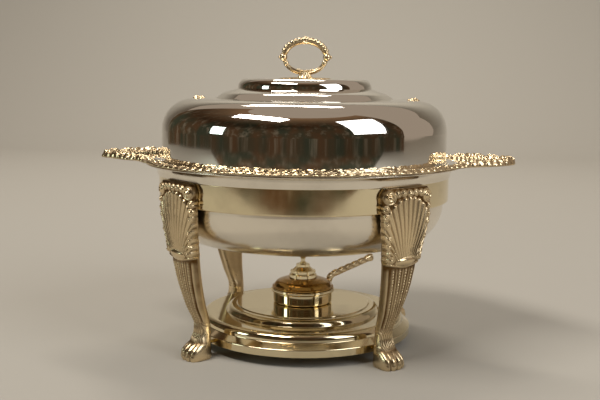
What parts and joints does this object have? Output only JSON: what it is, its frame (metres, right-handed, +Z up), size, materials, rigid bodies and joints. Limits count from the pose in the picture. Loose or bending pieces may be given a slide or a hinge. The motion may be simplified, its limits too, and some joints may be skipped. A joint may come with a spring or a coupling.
{
  "type": "chafing dish",
  "caption": "Round silver-plated chafing dish: domed lid with ring finial, handled food pan, hot-water bowl, four-legged stand and spirit burner.",
  "frame": {"origin": "on the floor under the middle of the round dish, which is the bottom centre of the box round the part", "axes": "+X along the two handles, towards the right handle; +Y to the rear; +Z up; the plain front is -Y"},
  "size_m": [0.488, 0.374, 0.3535],
  "materials": {
    "bright_silver_sheet": "silver-plated sheet, mirror polished",
    "dull_silver_sheet": "silver-plated sheet, rubbed and slightly dull",
    "aged_silver_sheet": "silver-plated sheet, polished, with a yellow tarnish",
    "silver_casting": "silver-plated casting, polished high and darker in its hollows",
    "brass_fixings": "turned brass",
    "cotton_wick": "braided cotton",
    "mineral_wool": "loose fibre"
  },
  "bodies": {
    "stand": {"stand_ring": "aged_silver_sheet", "leg_front_right": "silver_casting", "leg_rear_right": "silver_casting", "leg_rear_left": "silver_casting", "leg_front_left": "silver_casting", "leg_screws": "brass_fixings", "burner_tray": "aged_silver_sheet", "tray_screws": "brass_fixings"},
    "water_bowl": {"water_bowl": "dull_silver_sheet", "water_bowl_collar": "dull_silver_sheet"},
    "food_pan": {"food_pan": "bright_silver_sheet", "rim_border": "silver_casting", "handle_right": "silver_casting", "handle_left": "silver_casting"},
    "lid": {"lid_dome": "bright_silver_sheet", "lid_crown": "bright_silver_sheet", "lid_locating_lip": "bright_silver_sheet", "finial_rosette": "silver_casting", "finial_ring": "silver_casting", "finial_stud": "brass_fixings", "finial_washer": "brass_fixings", "finial_nut": "brass_fixings", "shoulder_scroll_right": "silver_casting", "shoulder_scroll_left": "silver_casting"},
    "burner": {"burner_cup": "aged_silver_sheet", "burner_handle": "silver_casting", "handle_rivets": "brass_fixings", "fuel_wool": "mineral_wool"},
    "burner_cover": {"burner_cover": "aged_silver_sheet", "neck_collar": "aged_silver_sheet", "wick_tube": "brass_fixings", "wick": "cotton_wick"},
    "snuffer": {"snuffer_cap": "aged_silver_sheet", "snuffer_knob": "aged_silver_sheet"}
  },
  "joints": [
    {"name": "water_bowl_lift", "type": "slide", "parent": "stand", "child": "water_bowl", "axis": [0, 0, 1], "range_m": [0, 0.1]},
    {"name": "food_pan_lift", "type": "slide", "parent": "water_bowl", "child": "food_pan", "axis": [0, 0, 1], "range_m": [0, 0.09]},
    {"name": "lid_lift", "type": "slide", "parent": "food_pan", "child": "lid", "axis": [0, 0, 1], "range_m": [0, 0.12]},
    {"name": "burner_slide", "type": "slide", "parent": "stand", "child": "burner", "axis": [0, -1, 0], "range_m": [0, 0.25]},
    {"name": "burner_cover_lift", "type": "slide", "parent": "burner", "child": "burner_cover", "axis": [0, 0, 1], "range_m": [0, 0.006]},
    {"name": "snuffer_lift", "type": "slide", "parent": "burner_cover", "child": "snuffer", "axis": [0, 0, 1], "range_m": [0, 0.0075]}
  ]
}
